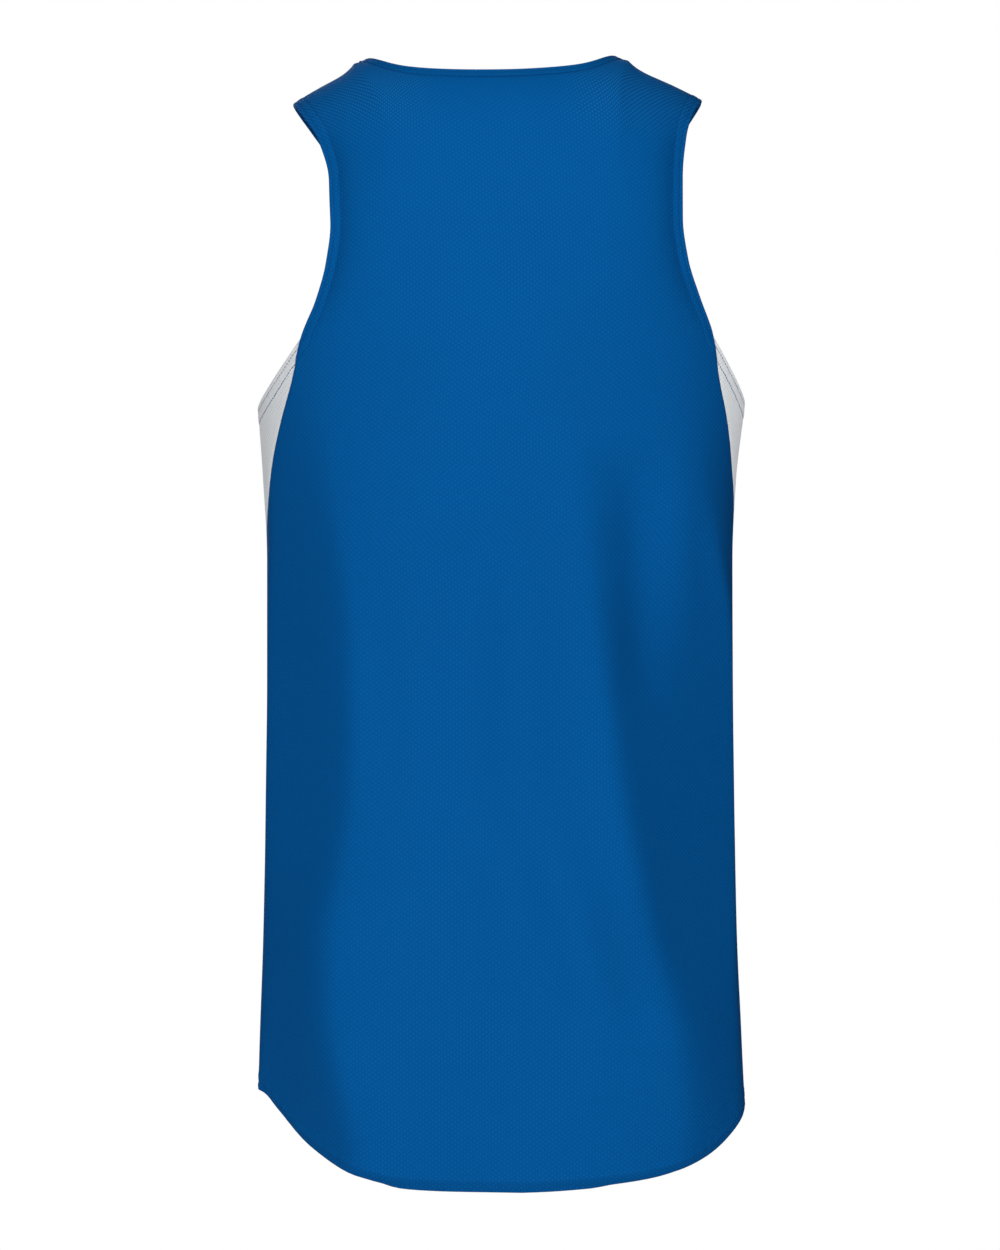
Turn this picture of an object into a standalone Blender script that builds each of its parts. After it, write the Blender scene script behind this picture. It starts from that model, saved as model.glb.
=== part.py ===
"""Sleeveless track jersey: a hollow worn form of mesh back and front, side inserts and a neck band.

Sizes are in millimetres and angles in degrees. +Z is up, the back faces +Y and the wearer's left
is +X. The origin is midway between the two neck points, at the top of the shoulders.
"""
import bmesh
import bpy
import numpy as np

MM = 0.001
NAME = "track_jersey"

# Cloth
WALL = 1.6
HEM_WALL = 2.4
HEM_DEPTH = 10.0
ARMHOLE_HEM = 9.0
HEM_STEP = 2.0
SEAM_GAP = 0.3

# Neck band
BAND_HEIGHT = 7.0
BAND_PROUD = 0.3
BAND_ROUND = 1.2
BAND_LEAN = 0.25

# Heights at the wearer's left edge, and how much higher each one is at the right edge
HEM_CORNER = -668.0
GORE_TIP = -322.0
GORE_CLOSE = -325.0
JUNCTION = -187.0
SHOULDER_TIP = -31.8
HEM_TILT = -6.0
TIP_TILT = 4.2

# Neck points of the panels, left and right: across and up
NECK_X = (90.5, -78.5)
NECK_Z = (-4.0, -2.0)
SHOULDER_BOW = 0.03
NECK_SOFT = 0.4

# The armhole edge of an insert dips below its two junctions
ARMHOLE_DIP = 44.0
DIP_POWER = 2.1

# Height over which the curve of the hem fades out above it
TAIL_FADE = 260.0

# The two panels: which way they face, the height over which the shoulder rounds back, how square
# that curve is (2 is an ellipse), how far the middle of the neck edge lies below the shoulder
# line, how square the neck is cut, and the share of the shirt tail that they have
PANELS = {
    "back": {
        "facing": 1, "rounding": 110.0, "square": 3.0, "neck_drop": 18.8, "neck_power": 0.71,
        "tail": 1.0,
    },
    "front": {
        "facing": -1, "rounding": 145.0, "square": 2.3, "neck_drop": 113.5, "neck_power": 0.45,
        "tail": 0.85,
    },
}


def table(names, rows):
    """Turn rows into one array for each named column, in order of the first one."""
    ordered = sorted(rows)
    return dict(zip(names.split(), np.array(ordered, float).T))


# Level sections of the body: half widths to the left and right, depths to the back and front
SECTIONS = table("height left right back front square", [
    (0, 168.0, 168.0, 102, 98, 2.30),
    (-80, 168.0, 168.0, 106, 101, 2.30),
    (-150, 163.0, 163.0, 116, 108, 2.32),
    (-228, 157.0, 158.3, 119, 119, 2.35),
    (-274, 153.7, 153.1, 117, 118, 2.40),
    (-326, 151.1, 150.8, 114, 114, 2.40),
    (-404, 151.1, 151.1, 113, 112, 2.45),
    (-469, 151.8, 151.8, 113, 112, 2.50),
    (-560, 153.1, 153.4, 114, 114, 2.50),
    (-638, 155.7, 156.3, 116, 116, 2.50),
    (-722, 158.0, 160.0, 114, 117, 2.50),
])

# Where each panel ends at its sides: degrees round the section from the side line, towards the
# middle of that panel. Top to bottom: armhole edge, insert seam, plain side seam.
EDGES = table("height back_left back_right front_left front_right", [
    (-31, 39.0, 41.0, 39.0, 41.0),
    (-45, 44.5, 45.4, 45.0, 46.0),
    (-59, 49.0, 47.6, 50.0, 49.5),
    (-87, 52.6, 49.0, 55.5, 52.5),
    (-113, 52.7, 48.6, 57.0, 54.0),
    (-139, 50.7, 46.0, 56.0, 52.5),
    (-163, 46.8, 41.0, 51.5, 47.5),
    (-187, 40.5, 34.8, 44.0, 40.0),
    (-213, 35.8, 31.0, 37.0, 34.5),
    (-238, 29.4, 24.5, 30.5, 29.5),
    (-263, 22.3, 16.5, 23.0, 24.0),
    (-288, 14.8, 7.3, 15.2, 18.0),
    (-305, 8.2, 0.8, 8.5, 12.0),
    (-322, 0.2, -4.6, 0.2, 5.4),
    (-325, 0.0, -5.0, 0.0, 5.0),
    (-668, 0.0, -5.0, 0.0, 5.0),
])

# The shirt tail: how far the hem hangs below the line of its corners, from side (0) to middle (1)
TAIL = table("inward left right", [
    (0.00, 0.0, 0.0),
    (0.16, 0.5, 7.5),
    (0.30, 6.5, 18.0),
    (0.47, 25.5, 31.5),
    (0.65, 42.5, 41.5),
    (0.80, 50.5, 48.0),
    (1.00, 52.8, 52.8),
])

# The back falls away at its sides in flat planes: how fully it is cut by them, where each one
# starts across, and how steeply it falls
SIDE_PLANES = table("height cut left_x left_slope right_x right_slope", [
    (-215, 0, 122, 1.30, 56, 0.35),
    (-290, 1, 111, 1.35, 58, 0.46),
    (-328, 1, 103, 1.40, 61, 0.52),
    (-365, 1, 98, 1.40, 65, 0.58),
    (-416, 1, 95, 1.40, 69, 0.62),
    (-466, 1, 95, 1.40, 76, 0.76),
    (-516, 1, 98, 1.40, 85, 1.05),
    (-566, 1, 99, 1.40, 94, 1.25),
    (-610, 1, 98, 1.40, 104, 1.30),
    (-655, 1, 95, 1.40, 112, 1.30),
    (-700, 1, 91, 1.35, 118, 1.30),
])
CREASE_SOFT = 3.0

# The largest folds: the panel, where the crest starts and ends, how far it bows towards the
# wearer's left between them, its half width and its lift
FOLDS = table("facing top_x top_z low_x low_z bow half_width lift", [
    (1, -46, -215, -110, -720, 9, 15, 3.0),
    (1, -80, -250, -90, -400, 0, 12, -3.0),
    (1, -108, -230, -112, -380, 0, 13, 3.0),
    (1, -135, -250, -138, -420, 0, 10, -2.5),
    (1, 6, -330, 6, -500, 0, 26, -4.0),
    (1, 6, -500, -34, -610, 0, 18, -5.0),
    (1, 76, -480, 70, -640, 0, 20, 5.0),
    (1, 30, -560, 10, -730, 0, 30, -4.0),
    (1, 78, -330, 72, -470, 0, 14, -2.5),
    (-1, 108, -270, 92, -715, 0, 20, 6.0),
    (-1, -104, -260, -96, -715, 0, 20, 6.5),
    (-1, 128, -340, 124, -640, 0, 15, -4.5),
    (-1, -126, -330, -128, -640, 0, 15, -4.5),
    (-1, 60, -200, 20, -420, 0, 24, 4.0),
    (-1, -58, -205, -24, -460, 0, 22, 4.5),
    (-1, 4, -430, 30, -650, 0, 24, -4.0),
])
FOLD_FADE = 70.0
FOLD_SIDE = 45.0

# How finely each piece is divided
NECK_COLUMNS = 22
SHOULDER_COLUMNS = 8
INSERT_COLUMNS = 10
SIDE_ROWS = 14
GORE_ROWS = 7
YOKE_ROWS = 3
SHOULDER_ROWS = 10

# Colours, linear RGB
BLUE = (0.0010, 0.0920, 0.3030)
WHITE = (0.680, 0.700, 0.730)
BAND_BLUE = (0.0020, 0.0780, 0.2600)


def mix(start, end, share):
    """Go from start to end as share goes from 0 to 1."""
    return start + (end - start) * share


def soft_step(share):
    """Rise smoothly from 0 to 1 as share does."""
    held = np.clip(share, 0.0, 1.0)
    return held * held * (3.0 - 2.0 * held)


def level_slopes(places, values):
    """Return a slope at each row, level at a peak or a flat so that no curve overshoots."""
    steps = np.diff(values) / np.diff(places)
    product = steps[:-1] * steps[1:]
    total = steps[:-1] + steps[1:]
    inner = np.where(product > 0, 2 * product / np.where(total == 0, 1, total), 0)
    return np.concatenate([steps[:1], inner, steps[-1:]])


def curve(source, name, place):
    """Read one column of a table at any place, along a smooth curve through its rows."""
    places = next(iter(source.values()))
    values = source[name]
    slopes = level_slopes(places, values)
    row = np.clip(np.searchsorted(places, place) - 1, 0, len(places) - 2)
    span = places[row + 1] - places[row]
    t = np.clip((place - places[row]) / span, 0.0, 1.0)
    ease = soft_step(t)
    bend = t * (1 - t) ** 2 * slopes[row] - t * t * (1 - t) * slopes[row + 1]
    return mix(values[row], values[row + 1], ease) + span * bend


def fold_lift(x, y, z):
    """Return how far the folds move the cloth out at points of the plain form."""
    total = np.zeros_like(x)
    for facing, top_x, top_z, low_x, low_z, bow, half_width, lift in zip(*FOLDS.values()):
        run = (top_z - z) / (top_z - low_z)
        crest = mix(top_x, low_x, run) + bow * 4 * run * (1 - run)
        across = np.exp(-((x - crest) / half_width) ** 2)
        ends = soft_step((top_z - z) / FOLD_FADE) * soft_step((z - low_z) / FOLD_FADE + 1.0)
        total += lift * across * ends * soft_step(facing * y / FOLD_SIDE)
    return total


def fall_away(x, y, z, wide, deep, square):
    """Cut the section by its side plane, a little softly, and return how deep it is then."""
    side = x > 0
    start_x = np.where(side, curve(SIDE_PLANES, "left_x", z), curve(SIDE_PLANES, "right_x", z))
    slope = np.where(
        side, curve(SIDE_PLANES, "left_slope", z), curve(SIDE_PLANES, "right_slope", z)
    )
    start_y = deep * np.clip(1 - (start_x / wide) ** square, 0, 1) ** (1 / square)
    plane = start_y - slope * (np.abs(x) - start_x)
    soft = CREASE_SOFT * np.clip(y / 30, 0, 1)
    cut = (y + plane) / 2 - np.sqrt(((y - plane) / 2) ** 2 + soft ** 2) + soft / 2
    return np.where(y > 0, mix(y, np.minimum(y, cut), curve(SIDE_PLANES, "cut", z)), y)


def form_point(turn, z, rounding):
    """Place points on the body form: turn is 0 at the left side and 90 at the centre back."""
    angle = np.radians(turn)
    cosine = np.cos(angle)
    sine = np.sin(angle)
    square = curve(SECTIONS, "square", z)
    power = 2.0 / square
    wide = np.where(cosine > 0, curve(SECTIONS, "left", z), curve(SECTIONS, "right", z))
    deep = np.where(sine > 0, curve(SECTIONS, "back", z), curve(SECTIONS, "front", z))
    x = wide * np.sign(cosine) * np.abs(cosine) ** power
    y = deep * np.sign(sine) * np.abs(sine) ** power
    out_x = np.sign(x) * np.abs(x / wide) ** (square - 1) / wide
    out_y = np.sign(y) * np.abs(y / deep) ** (square - 1) / deep
    length = np.hypot(out_x, out_y)
    y = fall_away(x, y, z, wide, deep, square) * rounding
    lift = fold_lift(x, y, z)
    return np.stack([x + lift * out_x / length, y + lift * out_y / length, z], axis=-1)


def tilt(height):
    """Return how much higher the right edge lies than the left edge at a height."""
    return mix(HEM_TILT, TIP_TILT, (height - HEM_CORNER) / (SHOULDER_TIP - HEM_CORNER))


def panel_turn(panel, share, height):
    """Return the turn round the form at a share of the way from left edge to right edge."""
    left = curve(EDGES, panel + "_left", height)
    right = 180.0 - curve(EDGES, panel + "_right", height)
    return PANELS[panel]["facing"] * mix(left, right, share)


def top_across(panel, share):
    """Return how far across the top of a panel a column ends."""
    return form_point(panel_turn(panel, share, SHOULDER_TIP), SHOULDER_TIP + 0 * share, 1.0)[..., 0]


def neck_shares(panel):
    """Return the shares of the width at which the two neck points lie."""
    share = np.linspace(0.0, 1.0, 2001)
    across = top_across(panel, share)
    return [float(np.interp(-x, -across, share)) for x in NECK_X]


def bend_off(along):
    """Go from a level line into a slope of 1, through 0 at 0 and through 1 at 1."""
    rise = (along + np.sqrt(along ** 2 + NECK_SOFT ** 2)) / 2
    return (rise - NECK_SOFT / 2) / ((1 + np.sqrt(1 + NECK_SOFT ** 2)) / 2 - NECK_SOFT / 2)


def panel_top(panel, share):
    """Return the height of the shoulder line, and how far round its curve the panel ends."""
    left, right = neck_shares(panel)
    x = top_across(panel, share)
    tips = top_across(panel, np.array([0.0, 1.0]))
    halves = []
    for end, tip_z in ((0, SHOULDER_TIP), (1, SHOULDER_TIP + TIP_TILT)):
        along = (x - NECK_X[end]) / (tips[end] - NECK_X[end])
        bowed = SHOULDER_BOW * np.sin(np.pi * np.clip(along, 0, 1))
        halves.append(mix(NECK_Z[end], tip_z, bend_off(along) + bowed))
    line = mix(*halves, soft_step((share - left) / (right - left)))
    neck_middle = sum(NECK_X) / 2
    neck_half = (NECK_X[0] - NECK_X[1]) / 2
    inside = np.clip(1 - ((x - neck_middle) / neck_half) ** 2, 0, 1)
    size = PANELS[panel]
    rise = 1 - size["neck_drop"] / size["rounding"] * inside ** size["neck_power"]
    return line, np.degrees(np.arctan((rise ** -size["square"] - 1) ** (1 / size["square"])))


def panel_point(panel, share, height, rounded):
    """Place points of a panel.

    share runs from the left edge (0) to the right edge (1). height is that of the left edge, up
    to where the shoulder starts to round. rounded is 90 there and 0 along the shoulder line.
    """
    size = PANELS[panel]
    line = panel_top(panel, share)[0]
    turned = np.radians(rounded)
    inward = 2 * np.minimum(share, 1 - share)
    tail = np.where(share < 0.5, curve(TAIL, "left", inward), curve(TAIL, "right", inward))
    tail_left = 1 - soft_step((height - HEM_CORNER) / TAIL_FADE)
    level = height + tilt(height) * share - size["tail"] * tail * tail_left
    tips = SHOULDER_TIP + TIP_TILT * share
    start = SHOULDER_TIP - size["rounding"]
    level = level + (line - tips) * soft_step((height - JUNCTION) / (start - JUNCTION))
    square = size["square"]
    squared = np.abs(np.cos(turned)) ** square + np.abs(np.sin(turned)) ** square
    reach = squared ** (-1 / square)
    rise = size["rounding"] * reach * np.cos(turned)
    forward = reach * np.sin(turned)
    return form_point(panel_turn(panel, share, height + rise), level + rise, forward)


def insert_point(side, share, height, rounded):
    """Place points of a side insert: share runs from its back seam (0) to its front seam (1)."""
    back = curve(EDGES, "back_" + side, height)
    front = curve(EDGES, "front_" + side, height)
    turn = mix(back, -front, share)
    dip = ARMHOLE_DIP * (1 - np.abs(2 * share - 1) ** DIP_POWER)
    z = height - dip * soft_step((height - GORE_TIP) / (JUNCTION - GORE_TIP))
    if side == "right":
        turn = 180.0 - turn
        z = z + tilt(height)
    return form_point(turn, z, 1.0)


def unit(vectors):
    """Scale vectors to length 1."""
    return vectors / np.linalg.norm(vectors, axis=-1, keepdims=True)


def lay_out(place, shares, heights, turn):
    """Return a grid of points, its outward normals and its directions along and up the cloth."""
    share, height = np.meshgrid(shares, heights)
    on_shoulder = turn < 90.0
    step_height = np.where(on_shoulder, 0.0, 0.5)
    step_turn = np.where(on_shoulder, -0.5, 0.0)
    step_share = 0.0005
    points = place(share, height, turn)
    along = place(share + step_share, height, turn) - place(share - step_share, height, turn)
    up = (place(share, height + step_height, turn + step_turn)
          - place(share, height - step_height, turn - step_turn))
    normals = unit(np.cross(along, up))
    if np.sum(normals[..., :2] * points[..., :2]) < 0:
        normals = -normals
    return points, normals, unit(along), unit(up)


def grid_triangles(rows, columns, first, closed=False):
    """Return the triangles of a grid of vertices, split along the same diagonals in every grid."""
    triangles = []
    for row in range(rows - 1):
        for column in range(columns if closed else columns - 1):
            after = (column + 1) % columns
            a = first + row * columns + column
            b = first + row * columns + after
            c = first + (row + 1) * columns + after
            d = first + (row + 1) * columns + column
            triangles += [(a, b, c), (a, c, d)]
    return triangles


def edge_triangles(loop, offset):
    """Return the strip that joins a loop of outer vertices to the inner ones below it."""
    triangles = []
    for start, end in zip(loop, loop[1:] + loop[:1]):
        triangles += [(start, start + offset, end + offset), (start, end + offset, end)]
    return triangles


def border(rows, columns):
    """Return the vertices round the edge of a grid, in order."""
    bottom = list(range(columns))
    right = [row * columns + columns - 1 for row in range(1, rows)]
    top = [(rows - 1) * columns + column for column in range(columns - 2, -1, -1)]
    left = [row * columns for row in range(rows - 2, 0, -1)]
    return bottom + right + top + left


def add_piece(name, points, triangles, material, collection):
    """Make one closed mesh object from points in millimetres."""
    mesh = bpy.data.meshes.new(name)
    mesh.from_pydata((points * MM).tolist(), [], triangles)
    shape = bmesh.new()
    shape.from_mesh(mesh)
    bmesh.ops.recalc_face_normals(shape, faces=shape.faces)
    shape.to_mesh(mesh)
    shape.free()
    mesh.shade_smooth()
    mesh.set_sharp_from_angle(angle=np.radians(50))
    mesh.materials.append(material)
    piece = bpy.data.objects.new(name, mesh)
    collection.objects.link(piece)
    return piece


def add_wall(name, grid, thickness, material, collection):
    """Make a cloth wall: a grid of outer points, drawn back from its seams, and its inner side."""
    points, normals, along, up = grid
    outer = points.copy()
    outer[:, 0] += along[:, 0] * SEAM_GAP / 2
    outer[:, -1] -= along[:, -1] * SEAM_GAP / 2
    outer[-1] -= up[-1] * SEAM_GAP / 2
    inner = outer - normals * thickness[..., None]
    rows, columns = thickness.shape
    count = rows * columns
    triangles = grid_triangles(rows, columns, 0)
    triangles += [triangle[::-1] for triangle in grid_triangles(rows, columns, count)]
    triangles += edge_triangles(border(rows, columns), count)
    both = np.concatenate([outer.reshape(-1, 3), inner.reshape(-1, 3)])
    add_piece(name, both, triangles, material, collection)
    return outer, inner


def cloth(name, colour, roughness):
    """Make a plain cloth material."""
    material = bpy.data.materials.new(name)
    material.use_nodes = True
    shader = material.node_tree.nodes["Principled BSDF"]
    shader.inputs["Base Color"].default_value = (*colour, 1.0)
    shader.inputs["Roughness"].default_value = roughness
    shader.inputs["Metallic"].default_value = 0.0
    material.diffuse_color = (*colour, 1.0)
    return material


def side_heights():
    """Return the heights at which the side seam and the insert seams are divided."""
    hem = [HEM_CORNER, HEM_CORNER + HEM_DEPTH]
    side = np.linspace(HEM_CORNER + HEM_DEPTH + HEM_STEP, GORE_CLOSE, SIDE_ROWS + 1)
    return hem + list(side), gore_heights()


def gore_heights():
    """Return the heights at which the insert seams are divided, from tip to armhole."""
    hem_start = JUNCTION - ARMHOLE_HEM
    gore = np.linspace(GORE_TIP, hem_start - HEM_STEP, GORE_ROWS + 1)
    return list(gore) + [hem_start, JUNCTION]


def panel_shares(panel):
    """Return the shares of the width at which a panel's columns lie."""
    width = float(np.ptp(top_across(panel, np.array([0.0, 1.0]))))
    hem = ARMHOLE_HEM / width
    step = HEM_STEP / width
    left, right = neck_shares(panel)
    shoulder_left = np.linspace(hem + step, left, SHOULDER_COLUMNS + 1)
    shoulder_right = np.linspace(right, 1 - hem - step, SHOULDER_COLUMNS + 1)
    even = np.linspace(0, 1, NECK_COLUMNS + 1)
    crowded = even ** 3 * (10 - 15 * even + 6 * even ** 2)  # closest together at the neck points
    neck = mix(left, right, crowded)
    return np.concatenate([[0, hem], shoulder_left, neck[1:-1], shoulder_right, [1 - hem, 1]])


def make_panel(panel, material, collection):
    """Make the back or the front, and return its neck edge for the band."""
    side, gore = side_heights()
    start = SHOULDER_TIP - PANELS[panel]["rounding"]
    yoke = list(np.linspace(JUNCTION, start, YOKE_ROWS + 1))[1:]
    heights = side + gore + yoke + [start] * SHOULDER_ROWS
    shares = panel_shares(panel)
    row_turns = np.full(len(heights), 90.0)
    row_turns[-SHOULDER_ROWS - 1:] = np.linspace(90, 0, SHOULDER_ROWS + 1)
    last_turns = panel_top(panel, shares)[1]
    turns = last_turns + np.outer(row_turns / 90.0, 90.0 - last_turns)

    def place(share, height, turn):
        return panel_point(panel, share, height, turn)

    grid = lay_out(place, shares, heights, turns)
    thickness = np.full(grid[0].shape[:2], WALL)
    hem_columns = np.minimum(shares, 1 - shares) <= shares[1] + 1e-9
    armhole_rows = np.array(heights) >= JUNCTION
    thickness[np.ix_(armhole_rows, hem_columns)] = HEM_WALL
    thickness[:2] = HEM_WALL
    outer, inner = add_wall(panel + "_panel", grid, thickness, material, collection)
    left, right = neck_shares(panel)
    neck = (shares > left - 1e-6) & (shares < right + 1e-6)
    return outer[-1, neck], inner[-1, neck]


def make_insert(side, material, collection):
    """Make one side insert, from the armhole down to the tip between back and front."""
    heights = gore_heights()
    shares = np.linspace(0, 1, INSERT_COLUMNS + 1)

    def place(share, height, turn):
        return insert_point(side, share, height, turn)

    grid = lay_out(place, shares, heights, np.full((len(heights), len(shares)), 90.0))
    thickness = np.full(grid[0].shape[:2], WALL)
    thickness[-2:] = HEM_WALL
    add_wall("side_insert_" + side, grid, thickness, material, collection)


def join_ends(back_edge, front_edge):
    """Join the neck edges of back and front in one loop that passes midway between them."""
    loop = np.concatenate([back_edge, front_edge[-2:0:-1]])
    loop[0] = (back_edge[0] + front_edge[0]) / 2
    loop[len(back_edge) - 1] = (back_edge[-1] + front_edge[-1]) / 2
    return loop


def make_band(back_neck, front_neck, material, collection):
    """Make the neck band, which stands on the neck edges of both panels."""
    outer = join_ends(back_neck[0], front_neck[0])
    inner = join_ends(back_neck[1], front_neck[1])
    along = unit(np.roll(outer, -1, axis=0) - np.roll(outer, 1, axis=0))
    normals = unit(outer - inner)
    inward = unit(np.cross(along, normals))
    if np.sum(inward * (outer.mean(axis=0) - outer)) < 0:
        inward = -inward
    start = inward * SEAM_GAP
    rise = unit(inward + BAND_LEAN * normals[:, 2:] * normals) * BAND_HEIGHT
    proud = normals * BAND_PROUD
    shoulder = 1 - BAND_ROUND / BAND_HEIGHT
    rings = [
        outer + start + proud,
        outer + start + proud + rise * shoulder,
        (outer + inner) / 2 + start + rise,
        inner + start - proud + rise * shoulder,
        inner + start - proud,
    ]
    count = len(outer)
    triangles = grid_triangles(len(rings) + 1, count, 0, closed=True)
    whole = count * len(rings)
    triangles = [tuple(vertex % whole for vertex in triangle) for triangle in triangles]
    add_piece("neck_band", np.concatenate(rings), triangles, material, collection)


def build():
    """Build every piece of the garment."""
    for old in list(bpy.data.objects):
        bpy.data.objects.remove(old, do_unlink=True)
    collection = bpy.data.collections.new(NAME)
    bpy.context.scene.collection.children.link(collection)
    back_neck = make_panel("back", cloth("back_mesh", BLUE, 0.85), collection)
    front_neck = make_panel("front", cloth("front_mesh", BLUE, 0.85), collection)
    make_insert("left", cloth("left_insert_mesh", WHITE, 0.85), collection)
    make_insert("right", cloth("right_insert_mesh", WHITE, 0.85), collection)
    make_band(back_neck, front_neck, cloth("neck_band_mesh", BAND_BLUE, 0.8), collection)


build()
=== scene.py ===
import math

import bmesh
import bpy
import numpy as np
from mathutils import Matrix


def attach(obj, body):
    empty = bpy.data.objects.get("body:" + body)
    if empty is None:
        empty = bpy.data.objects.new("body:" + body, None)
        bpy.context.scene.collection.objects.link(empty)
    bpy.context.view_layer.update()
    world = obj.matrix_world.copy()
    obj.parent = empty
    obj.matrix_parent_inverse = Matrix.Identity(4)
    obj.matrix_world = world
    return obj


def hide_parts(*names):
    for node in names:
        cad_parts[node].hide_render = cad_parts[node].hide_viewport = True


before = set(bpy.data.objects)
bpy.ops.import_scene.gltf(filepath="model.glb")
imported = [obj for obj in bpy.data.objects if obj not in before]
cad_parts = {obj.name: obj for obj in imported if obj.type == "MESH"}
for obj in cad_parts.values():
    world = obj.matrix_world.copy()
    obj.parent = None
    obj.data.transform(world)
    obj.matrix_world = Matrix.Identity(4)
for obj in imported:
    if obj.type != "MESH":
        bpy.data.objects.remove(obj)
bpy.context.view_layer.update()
print("frame loaded:", ", ".join(sorted(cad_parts)))

# Sizes are in millimetres, angles in degrees; flat sizes, materials and studio are in metres
mm = 0.001
tiny = 1e-6

# The worn form. Left and right are the wearer's: +X and -X. The back faces +Y.
wornForm = {
    "hemCorner": -668.0,
    "goreTip": -322.0,
    "goreClose": -325.0,
    "junction": -187.0,
    "shoulderTip": -31.8,
    "hemTilt": -6.0,     # how much higher the right side lies, at the hem and at the shoulder
    "tipTilt": 4.2,
    "tailFade": 260.0,   # height over which the hem's curve fades out
    "neckX": (94.5, -83.0),   # neck points, left and right
    "neckZ": (-5.5, -2.7),
    "neckSoft": 0.20,
    "neckCorner": 0.12,
    "shoulderBow": 0.14,   # how far the shoulder line hangs through, and where most
    "bowPeak": 0.25,
    "armholeDip": (41.0, 39.0),   # under the arm, left and right
    "dipPower": 2.1,
    "creaseSoft": 3.0,
    "creaseStart": 30.0,
    "foldFade": 70.0,
    "foldSide": 45.0,
}


def readTable(names, rows):
    return dict(zip(names.split(), np.array(sorted(rows), float).T))


# Level sections: half widths to the left and right, depths to the back and front
sections = readTable("height left right back front square", [
    (0, 168.0, 168.0, 102, 98, 2.30),
    (-80, 168.0, 168.0, 106, 101, 2.30),
    (-150, 163.0, 163.0, 114, 108, 2.32),
    (-228, 157.0, 158.3, 119, 119, 2.35),
    (-274, 153.7, 153.1, 119, 118, 2.40),
    (-326, 151.1, 150.8, 115, 114, 2.40),
    (-404, 151.1, 151.1, 110, 112, 2.45),
    (-469, 151.8, 151.8, 108, 112, 2.50),
    (-560, 153.1, 153.4, 112, 114, 2.50),
    (-638, 155.7, 156.3, 116, 116, 2.50),
    (-690, 157.2, 158.8, 114, 116, 2.50),
    (-722, 158.0, 160.0, 109, 117, 2.50),
])

# Where each panel ends at its sides, in degrees round the section from the side line
edges = readTable("height backLeft backRight frontLeft frontRight", [
    (-31, 39.0, 41.0, 39.0, 41.0),
    (-45, 44.5, 45.4, 45.0, 46.0),
    (-59, 49.0, 47.6, 50.0, 49.5),
    (-87, 52.6, 49.0, 55.5, 52.5),
    (-113, 52.7, 48.6, 57.0, 54.0),
    (-139, 50.7, 46.0, 56.0, 52.5),
    (-163, 46.8, 41.0, 51.5, 47.5),
    (-187, 40.5, 34.8, 44.0, 40.0),
    (-213, 35.8, 31.0, 37.0, 34.5),
    (-238, 28.8, 24.5, 30.5, 29.5),
    (-263, 21.0, 16.5, 23.0, 24.0),
    (-288, 13.4, 7.3, 15.2, 18.0),
    (-305, 7.2, 0.8, 8.5, 12.0),
    (-322, 0.2, -4.6, 0.2, 5.4),
    (-325, 0.0, -5.0, 0.0, 5.0),
    (-668, 0.0, -5.0, 0.0, 5.0),
])

# How far the curved hem hangs below the line of its corners, from side (0) to middle (1)
shirtTail = readTable("inward left right", [
    (0.00, 0.0, 0.0),
    (0.16, 3.0, 7.5),
    (0.30, 12.8, 19.8),
    (0.47, 32.2, 34.3),
    (0.65, 47.2, 45.3),
    (0.80, 53.6, 50.0),
    (0.92, 54.9, 52.9),
    (1.00, 54.5, 54.5),
])

# Folds and creases: crest from top to low, half width, and how far the crest stands out
folds = readTable("facing topX topZ lowX lowZ bow halfWidth lift", [
    (1, -46, -215, -98, -600, 9, 16, 2.5),
    (1, -84, -240, -90, -370, 0, 16, -5.0),
    (1, -112, -230, -116, -330, 0, 12, 2.0),
    (1, -12, -300, -12, -460, 0, 20, 6.0),
    (1, 22, -300, 22, -460, 0, 26, -6.0),
    (1, -24, -470, -56, -590, 0, 20, 6.0),
    (1, 10, -470, -22, -590, 0, 24, -6.0),
    (1, 107, -500, 104, -640, 0, 32, 7.0),
    (1, -114, -560, -120, -660, 0, 32, 5.5),
    (1, 26, -610, 24, -780, 0, 38, -9.0),
    (1, 78, -330, 72, -440, 0, 14, -2.5),
    (-1, 108, -270, 92, -715, 0, 20, 6.0),
    (-1, -104, -260, -96, -715, 0, 20, 6.5),
    (-1, 128, -340, 124, -640, 0, 15, -4.5),
    (-1, -126, -330, -128, -640, 0, 15, -4.5),
    (-1, 60, -200, 20, -420, 0, 24, 4.0),
    (-1, -58, -205, -24, -460, 0, 22, 4.5),
    (-1, 4, -430, 30, -650, 0, 24, -4.0),
])

# The back falls away at its sides in flat planes: where each one starts, and how steeply it falls
sidePlanes = readTable("height cut leftX leftSlope rightX rightSlope", [
    (-215, 0, 122, 1.30, 56, 0.35),
    (-290, 1, 111, 1.35, 58, 0.55),
    (-328, 1, 103, 1.40, 61, 0.72),
    (-365, 1, 98, 1.40, 65, 0.95),
    (-416, 1, 95, 1.40, 70, 1.15),
    (-466, 1, 96, 1.40, 77, 1.20),
    (-516, 1, 102, 1.40, 87, 1.25),
    (-566, 1, 108, 1.40, 99, 1.30),
    (-610, 1, 107, 1.40, 112, 1.30),
    (-655, 1, 100, 1.40, 119, 1.30),
    (-700, 1, 93, 1.35, 122, 1.30),
])


def mix(start, end, share):
    return start + (end - start) * share


def softStep(share):
    held = np.clip(share, 0.0, 1.0)
    return held * held * (3.0 - 2.0 * held)


def ridge(distance, halfWidth):
    return np.exp(-(distance / halfWidth) ** 2)


def levelSlopes(places, values):
    steps = np.diff(values) / np.diff(places)
    product = steps[:-1] * steps[1:]
    total = steps[:-1] + steps[1:]
    inner = np.where(product > 0, 2 * product / np.where(total == 0, 1, total), 0)
    return np.concatenate([steps[:1], inner, steps[-1:]])


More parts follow.
